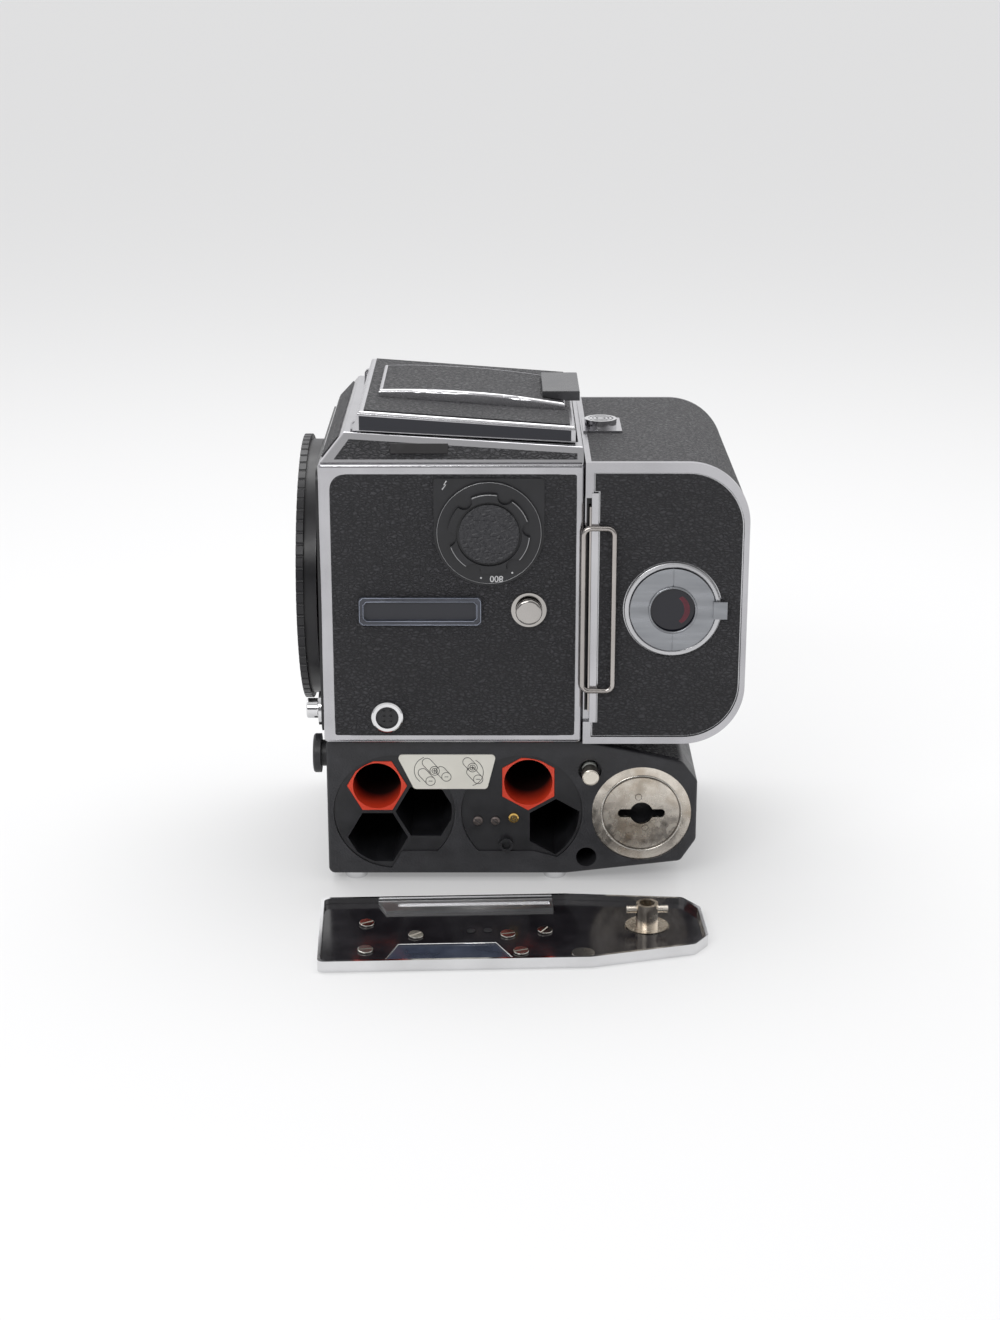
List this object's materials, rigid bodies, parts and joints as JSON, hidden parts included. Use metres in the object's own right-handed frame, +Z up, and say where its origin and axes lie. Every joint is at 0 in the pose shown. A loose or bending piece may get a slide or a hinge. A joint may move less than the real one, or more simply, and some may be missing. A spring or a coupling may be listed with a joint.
{
  "type": "medium format film camera",
  "caption": "Boxy single-lens reflex camera body with folding top finder, film magazine, body cap and motor base with its battery cover lying open in front.",
  "frame": {"origin": "mouth of the small tripod thread in the base plate, in the plane of the lens axis", "axes": "+X from the lens towards the film magazine, +Y towards the camera's right side, +Z up"},
  "size_m": [0.1371, 0.1624, 0.1516],
  "materials": {
    "body_metal": "satin anodised shell with bright bevelled edges",
    "leather": "black grained covering",
    "front_black": "matt black lacquer",
    "mount_chrome": "polished lens mount",
    "cap_plastic": "moulded black cap",
    "screen_glass": "ground glass",
    "mirror_glass": "front silvered mirror",
    "shutter_black": "matt black blades",
    "steel": "turned steel",
    "bright_fittings": "bright chrome",
    "socket_black": "moulded insulator",
    "dial_black": "black anodised dial",
    "finder_chrome": "bright edges round black leather",
    "black_plastic": "black moulded or lacquered",
    "lens_glass": "clear magnifier lens",
    "base_black": "black crackle lacquer",
    "cell_block_plastic": "black moulding",
    "adapter_red": "translucent orange-red moulding",
    "label_cream": "printed plate",
    "contact_brass": "spring contacts",
    "nickel": "nickel plated",
    "tripod_steel": "brushed plate",
    "motor_steel": "drawn can",
    "cover_chrome": "polished rim",
    "cover_inner": "mirror black insulating sheet",
    "magazine_metal": "satin with bright edges",
    "insert_metal": "film insert casting",
    "key_metal": "satin turned disc",
    "window_black": "dark window with a ring round it",
    "spool_plastic": "moulded film spool"
  },
  "bodies": {
    "body": {"body_shell": "body_metal", "body_leather": "leather", "front_plate": "front_black", "lens_mount_ring": "mount_chrome", "focusing_screen": "screen_glass", "accessory_rail": "bright_fittings", "strap_lugs": "bright_fittings", "flash_socket": "bright_fittings", "socket_insert": "socket_black", "dial_plate": "dial_black", "finder_base": "finder_chrome", "finder_leather": "leather", "base_housing": "base_black", "base_leather": "leather", "front_cell_block": "cell_block_plastic", "rear_cell_block": "cell_block_plastic", "cell_adapters": "adapter_red", "polarity_plate": "label_cream", "contact_pins": "contact_brass", "fuse": "nickel", "cover_key_plate": "nickel", "feet": "bright_fittings", "tripod_plate": "tripod_steel", "motor": "motor_steel"},
    "cap": {"body_cap": "cap_plastic"},
    "mirror": {"mirror": "mirror_glass"},
    "upper_shutter": {"upper_shutter_flap": "shutter_black"},
    "lower_shutter": {"lower_shutter_flap": "shutter_black"},
    "lens_shaft": {"lens_coupling_shaft": "steel"},
    "lens_release": {"lens_release_button": "bright_fittings"},
    "dial": {"film_speed_dial": "dial_black"},
    "lid": {"finder_lid": "finder_chrome", "finder_lid_leather": "leather"},
    "lid_catch": {"finder_catch": "black_plastic"},
    "magnifier": {"magnifier_arm": "shutter_black", "magnifier_lens": "lens_glass"},
    "flap_left": {"left_flap": "shutter_black"},
    "flap_right": {"right_flap": "shutter_black"},
    "flap_rear": {"rear_flap": "shutter_black"},
    "release": {"release_knob": "black_plastic"},
    "mode": {"mode_dial": "black_plastic"},
    "pinion": {"motor_pinion": "steel"},
    "gear": {"drive_gear": "steel"},
    "cover": {"cover_pan": "cover_chrome", "cover_inner_plate": "cover_inner", "cover_channel": "nickel", "cover_contacts": "nickel"},
    "cover_key": {"cover_key_stud": "nickel"},
    "magazine": {"magazine_shell": "magazine_metal", "magazine_leather": "leather", "magazine_frame": "steel", "memo_frame": "magazine_metal"},
    "slide": {"dark_slide": "steel"},
    "insert": {"film_insert": "insert_metal", "insert_leather": "leather", "key_window": "window_black", "film_spools": "spool_plastic"},
    "key": {"insert_key": "key_metal"},
    "mag_catch": {"magazine_catch": "bright_fittings"},
    "crank": {"winding_crank": "black_plastic"}
  },
  "joints": [
    {"name": "cap_turn", "type": "hinge", "parent": "body", "child": "cap", "pos_m": [-0.0449, 0, 0.089], "axis": [1, 0, 0], "range_deg": [0, 60]},
    {"name": "mirror_swing", "type": "hinge", "parent": "body", "child": "mirror", "pos_m": [0.035, 0, 0.1246], "axis": [0, 1, 0], "range_deg": [0, 44]},
    {"name": "upper_shutter_swing", "type": "hinge", "parent": "body", "child": "upper_shutter", "pos_m": [0.037, 0, 0.1186], "axis": [0, 1, 0], "range_deg": [0, 88]},
    {"name": "lower_shutter_swing", "type": "hinge", "parent": "body", "child": "lower_shutter", "pos_m": [0.037, 0, 0.0594], "axis": [0, 1, 0], "range_deg": [-88, 0]},
    {"name": "lens_shaft_turn", "type": "hinge", "parent": "body", "child": "lens_shaft", "pos_m": [-0.03, 0, 0.062], "axis": [1, 0, 0], "continuous": true},
    {"name": "lens_release_press", "type": "slide", "parent": "body", "child": "lens_release", "axis": [1, 0, 0], "range_m": [0, 0.002], "stiffness_N_per_m": 300},
    {"name": "dial_turn", "type": "hinge", "parent": "body", "child": "dial", "pos_m": [0.012, -0.047, 0.1129], "axis": [0, -1, 0], "range_deg": [-150, 150]},
    {"name": "lid_open", "type": "hinge", "parent": "body", "child": "lid", "pos_m": [-0.0276, 0, 0.1435], "axis": [0, -1, 0], "range_deg": [0, 90]},
    {"name": "lid_catch_slide", "type": "slide", "parent": "lid", "child": "lid_catch", "axis": [0, 1, 0], "range_m": [0, 0.003], "stiffness_N_per_m": 200},
    {"name": "magnifier_swing", "type": "hinge", "parent": "lid", "child": "magnifier", "pos_m": [0.0044, 0, 0.1406], "axis": [0, 1, 0], "range_deg": [0, 90]},
    {"name": "left_flap_swing", "type": "hinge", "parent": "body", "child": "flap_left", "pos_m": [0, -0.0366, 0.1362], "axis": [1, 0, 0], "range_deg": [0, 90]},
    {"name": "right_flap_swing", "type": "hinge", "parent": "body", "child": "flap_right", "pos_m": [0, 0.0366, 0.1362], "axis": [-1, 0, 0], "range_deg": [0, 90]},
    {"name": "rear_flap_swing", "type": "hinge", "parent": "body", "child": "flap_rear", "pos_m": [0.035, 0, 0.1382], "axis": [0, 1, 0], "range_deg": [0, 90]},
    {"name": "release_press", "type": "slide", "parent": "body", "child": "release", "axis": [1, 0, 0], "range_m": [0, 0.0016], "stiffness_N_per_m": 300},
    {"name": "mode_turn", "type": "hinge", "parent": "body", "child": "mode", "pos_m": [-0.04, 0.02, 0.024], "axis": [1, 0, 0], "range_deg": [0, 180]},
    {"name": "pinion_turn", "type": "hinge", "parent": "body", "child": "pinion", "pos_m": [0.05, 0.03, 0.0224], "axis": [1, 0, 0], "continuous": true},
    {"name": "gear_turn", "type": "hinge", "parent": "body", "child": "gear", "pos_m": [0.05, 0.0139, 0.0224], "axis": [1, 0, 0], "continuous": true},
    {"name": "cover_lift", "type": "slide", "parent": "body", "child": "cover", "axis": [0, 0, 1], "range_m": [0, 0.035]},
    {"name": "cover_key_turn", "type": "hinge", "parent": "cover", "child": "cover_key", "pos_m": [0.05908, -0.07922, 0], "axis": [0, 0, 1], "range_deg": [0, 90]},
    {"name": "magazine_tilt", "type": "hinge", "parent": "body", "child": "magazine", "pos_m": [0.04045, 0, 0.046], "axis": [0, 1, 0], "range_deg": [0, 8]},
    {"name": "dark_slide_pull", "type": "slide", "parent": "magazine", "child": "slide", "axis": [0, -1, 0], "range_m": [0, 0.085]},
    {"name": "insert_pull", "type": "slide", "parent": "magazine", "child": "insert", "axis": [0, -1, 0], "range_m": [0, 0.085]},
    {"name": "key_turn", "type": "hinge", "parent": "insert", "child": "key", "pos_m": [0.067, -0.047, 0.089], "axis": [0, -1, 0], "range_deg": [-90, 0]},
    {"name": "magazine_catch_slide", "type": "slide", "parent": "magazine", "child": "mag_catch", "axis": [0, 1, 0], "range_m": [0, 0.004], "stiffness_N_per_m": 200},
    {"name": "crank_turn", "type": "hinge", "parent": "magazine", "child": "crank", "pos_m": [0.067, 0.047, 0.089], "axis": [0, 1, 0], "continuous": true}
  ],
  "couplings": [
    {"joint": "upper_shutter_swing", "follows": "mirror_swing", "ratio": 2},
    {"joint": "lower_shutter_swing", "follows": "mirror_swing", "ratio": -2},
    {"joint": "magnifier_swing", "follows": "lid_open", "ratio": 1},
    {"joint": "left_flap_swing", "follows": "lid_open", "ratio": 1},
    {"joint": "right_flap_swing", "follows": "lid_open", "ratio": 1},
    {"joint": "rear_flap_swing", "follows": "lid_open", "ratio": 1},
    {"joint": "pinion_turn", "follows": "gear_turn", "ratio": -3},
    {"joint": "lens_shaft_turn", "follows": "gear_turn", "ratio": 1}
  ]
}
